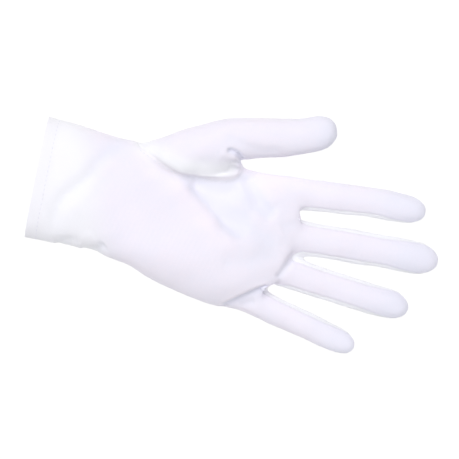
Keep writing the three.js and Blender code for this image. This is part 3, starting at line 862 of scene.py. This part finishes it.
knitLook = {
    "loose": (0.985, 0.988, 1.0, 1),  # where the cloth is slack or doubled
    "light": (0.995, 0.922, 0.995, 1),  # where it is stretched sheer
    "shade": (0.9, 0.89, 0.985, 1),
    "roughness": 0.82,
    "sheen": 0.25,
    "glow": 0.15,  # share of light that passes through the thin cloth
    "through": 1.6,  # millimetres that this light goes
    "wale": 0.62,  # millimetres between two columns of loops
    "course": 0.46,  # millimetres between two rows of loops
    "blotch": (55, 3, 0.55),  # scale, detail and roughness of a noise
    "grain": (620, 2, 0.6),
    "fuzz": (1900, 2, 0.6),
    "bump": (0.5, 0.00016),  # strength, and distance in metres
}
# how much each pattern turns the shade of the stretched cloth to its light; the painted shade entry
# pulls it back to the shade in folds and at the fingertips
mixing = {"blotch": 0.9, "grain": 0.45, "loops": 0.08, "fuzz": 0.15, "less": 0.15, "painted_shade": 0.6}
threadLook = {
    "shade": (0.83, 0.82, 0.9, 1),
    "light": (0.94, 0.93, 0.985, 1),
    "roughness": 0.55,
    "sheen": 0.1,
    "twist": (2600, 2, 0.5),
    "bump": (0.4, 0.0001),
}


def noiseOver(shader, body, look):
    scale, detail, roughness = look
    inputs = {"Vector": body, "Scale": scale, "Detail": detail, "Roughness": roughness}
    return shader.node("ShaderNodeTexNoise", inputs=inputs)


def blendOver(shader, share, low, high):
    return shader.node("ShaderNodeMix", output=2, data_type="RGBA", inputs={0: share, 6: low, 7: high})


def bumpOver(shader, relief, look):
    strength, distance = look
    inputs = {"Height": relief, "Strength": strength, "Distance": distance}
    return shader.node("ShaderNodeBump", inputs=inputs)


def marked(shader, name):
    return shader.node("ShaderNodeAttribute", output="Fac", attribute_name=name)


def knitMaterial():
    shader = Shader(bpy.data.materials.new("knit"))
    place = shader.node("ShaderNodeUVMap", uv_map="cloth")
    u, v = (shader.node("ShaderNodeSeparateXYZ", output=n, inputs={0: place}) for n in (0, 1))
    wale = v * (2 * math.pi / (knitLook["wale"] * mm))
    course = u * (2 * math.pi / (knitLook["course"] * mm))
    loops = wale.sine() * 0.6 + (course + wale.sine() * 1.1).sine() * 0.4
    body = shader.node("ShaderNodeTexCoord", output="Object")
    blotch, fuzz, grain = (noiseOver(shader, body, knitLook[n]) for n in ("blotch", "fuzz", "grain"))
    share = blotch * mixing["blotch"] + grain * mixing["grain"] + loops * mixing["loops"]
    # painted shade: the marked share pulls the tone to the shade colour in folds and at the fingertips
    share = share + fuzz * mixing["fuzz"] - mixing["less"] - marked(shader, "painted_shade") * mixing["painted_shade"]
    tone = blendOver(shader, share, knitLook["shade"], knitLook["light"])
    tone = blendOver(shader, marked(shader, "stretch"), knitLook["loose"], tone)
    shader.connect(shader.surface, {
        "Base Color": tone, "Roughness": knitLook["roughness"],
        "Normal": bumpOver(shader, loops * 0.7 + fuzz * 0.6, knitLook["bump"]),
        "Sheen Weight": knitLook["sheen"], "Sheen Roughness": 0.5, "Specular IOR Level": 0.25,
        "Subsurface Weight": knitLook["glow"], "Subsurface Radius": (1, 1, 1),
        "Subsurface Scale": knitLook["through"] * mm,
    })
    return shader.owner


def threadMaterial():
    shader = Shader(bpy.data.materials.new("thread"))
    body = shader.node("ShaderNodeTexCoord", output="Object")
    twist = noiseOver(shader, body, threadLook["twist"])
    shader.connect(shader.surface, {
        "Base Color": blendOver(shader, twist, threadLook["shade"], threadLook["light"]),
        "Normal": bumpOver(shader, twist, threadLook["bump"]),
        "Roughness": threadLook["roughness"], "Sheen Weight": threadLook["sheen"],
    })
    return shader.owner


knit, thread = knitMaterial(), threadMaterial()

# The form is cut into its pieces.
cloth = {"thickness": 0.55, "sharpFrom": 50}  # millimetres, and degrees between faces
worn = {}  # each piece's length and area as worn, in metres


def layOut(mesh, name):
    # Flat coordinates for the knit: along the piece and across it, in metres.
    points = readPoints(mesh)
    digit = hand.get(name.split("_")[0]) if not name.endswith("gusset") else None
    if digit:
        t, side, up = digit.local(points)
        flat = np.stack([t, up if name.endswith("_side") else side], axis=1) * mm
    else:
        flat = points[:, [0, 2]] if name.endswith("gusset") else points[:, [0, 1]]
    layer = mesh.uv_layers.new(name="cloth")
    layer.data.foreach_set("uv", flat[readNumbers(mesh.loops, "vertex_index")].ravel())
    return float(np.ptp(flat[:, 0]))


def smoothAll(obj):
    obj.data.polygons.foreach_set("use_smooth", [True] * len(obj.data.polygons))


def finishCloth(obj, name, thickness=cloth["thickness"]):
    worn[obj] = (layOut(obj.data, name), sum(p.area for p in obj.data.polygons))
    smoothAll(obj)
    obj.data.materials.clear()
    obj.data.materials.append(knit)
    wall = obj.modifiers.new("wall", "SOLIDIFY")
    wall.thickness = thickness * mm
    wall.offset = -1
    applyModifiers(obj)
    obj.data.set_sharp_from_angle(angle=math.radians(cloth["sharpFrom"]))


def cutPiece(mesh, wanted, name):
    bm = bmesh.new()
    bm.from_mesh(mesh)
    bm.faces.ensure_lookup_table()
    drop = [f for f, keep in zip(bm.faces, wanted) if not keep]
    bmesh.ops.delete(bm, geom=drop, context="FACES")
    return newObject(name, bm)


def attach(obj, name):
    # Everything but the sleeves and tips moves with the hand; a sleeve or tip only has its transform
    # baked.
    digitName = name.split("_")[0]
    if digitName not in hand or name.endswith(("gusset", "root")):
        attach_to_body(obj, "hand")
        return
    digit = hand[digitName]
    sleeve, tip = digit.spec["bends"]
    isTip = name.startswith(digitName + "_tip")
    start, end = (digit.root + digit.along * t * mm for t in (tip if isTip else sleeve))
    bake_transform(obj)


for name in found:
    obj = cutPiece(form.data, label == name, name + "_cloth")
    finishCloth(obj, name)
    attach(obj, name)
    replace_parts(obj, name)
print("pieces cut")

# The cuff's hem, turned inside.
hem = {"depth": 7.6, "inside": 0.75, "thickness": 0.5}


def makeHem():
    centres = toGlove(readTriples(form.data.polygons, "center"))
    obj = cutPiece(form.data, centres[:, 0] < hem["depth"], "cuff_hem_cloth")
    normals = readTriples(obj.data.vertices, "normal")
    points = readPoints(obj.data) - normals * hem["inside"] * mm
    points[:, 2] = np.maximum(points[:, 2], hem["inside"] * mm)
    writePoints(obj.data, points)
    finishCloth(obj, "cuff_hem", hem["thickness"])
    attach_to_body(obj, "hand")
    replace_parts(obj, "cuff_hem")


makeHem()

# The rows of stitches that show.
stitch = {
    "length": 1.7, "width": 0.42, "height": 0.3,
    "pitch": 2.7,
    "above": 0.05,  # its middle stands this far out of the cloth
    "hemAt": 6.4,  # x of the hem's row
    "beside": 1.7,  # the thumb's row lies this far from its seam
}
casting = {  # to find the cloth under a row
    "middle": 17, "around": 0.08, "rays": 721,  # from all round the cuff: millimetres, metres, how many
    "over": 60, "steps": 30,  # down on the thumb's seam: from what height, steps between its points
}
skin = surfaceOf(form.data)


def stitchRow(name, hits):
    # One small stitch lying on the cloth at each even step along a row of surface points.
    path = np.array([h[0] for h in hits])
    runs = np.linalg.norm(np.diff(path, axis=0), axis=1) / mm
    length = np.concatenate([[0], np.cumsum(runs)])
    count = int(length[-1] / stitch["pitch"])
    bm = bmesh.new()
    for n in range(count):
        i = int(np.searchsorted(length, (n + 0.5) * length[-1] / count)) - 1
        along = Vector(path[i + 1] - path[i]).normalized()
        out = Vector(hits[i][1])
        across = out.cross(along).normalized()
        made = bmesh.ops.create_icosphere(bm, subdivisions=2, radius=0.5)["verts"]
        sizes = (along * stitch["length"], across * stitch["width"], out * stitch["height"])
        turn = Matrix(sizes).transposed()
        place = Matrix.Translation(Vector(path[i]) + out * stitch["above"] * mm)
        turn = place @ (turn * mm).to_4x4()
        turn[3][3] = 1
        bmesh.ops.transform(bm, matrix=turn, verts=made)
    obj = newObject(name, bm)
    smoothAll(obj)
    obj.data.materials.append(thread)
    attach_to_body(obj, "hand")
    return obj


def castFrom(place, direction, reach=0.2):
    spot, out, _, _ = skin.ray_cast(place, direction, reach)
    return (spot, out) if spot else None


hemMiddle = onGlove(stitch["hemAt"], 0, casting["middle"])
angles = np.linspace(0, 2 * math.pi, casting["rays"])
turns = [Vector((0, math.cos(a), math.sin(a))) for a in angles]
hemHits = [castFrom(hemMiddle + turn * casting["around"], -turn) for turn in turns]
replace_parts(stitchRow("cuff_hem_stitches", [h for h in hemHits if h]), "cuff_hem_thread")

thumbLine = [(x, y - stitch["beside"]) for x, y in seams["thumbPalm"][1:-1]]
thumbLine = curveThrough(thumbLine, casting["steps"])
thumbHits = [castFrom(onGlove(x, y, casting["over"]), Vector((0, 0, -1))) for x, y in thumbLine]
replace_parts(stitchRow("thumb_seam_stitches", [h for h in thumbHits if h]), "thumb_seam_thread")
bpy.data.objects.remove(form)
print("stitches sewn")

# The sizes that the pieces were cut to.
cutting = {
    "stretch": 1.08,  # how much longer the worn cloth is than it was cut
    "fill": 0.9,  # share of its rectangle that a cut piece fills
    "narrowest": 0.012,  # metres; the narrower side of a piece is compared with this
}
for obj, (length, area) in worn.items():
    length, area = length / cutting["stretch"], area / cutting["stretch"] ** 2
    width = area / (cutting["fill"] * length)
    min(width, length) > cutting["narrowest"] and obj.name != "cuff_hem_cloth"

# The floor.
floorSpec = {"size": 6.0, "drop": 0.0003, "tone": (0.17, 0.17, 0.17, 1), "roughness": 0.9, "glow": 0.87}
bm = bmesh.new()
bmesh.ops.create_grid(bm, x_segments=1, y_segments=1, size=floorSpec["size"] / 2)
bmesh.ops.translate(bm, vec=(0, 0, -floorSpec["drop"]), verts=bm.verts)
floor = newObject("floor", bm)
table = Shader(bpy.data.materials.new("table"))
table.connect(table.surface, {
    "Base Color": floorSpec["tone"], "Roughness": floorSpec["roughness"],
    "Emission Color": (1, 1, 1, 1), "Emission Strength": floorSpec["glow"],
})
floor.data.materials.append(table.owner)
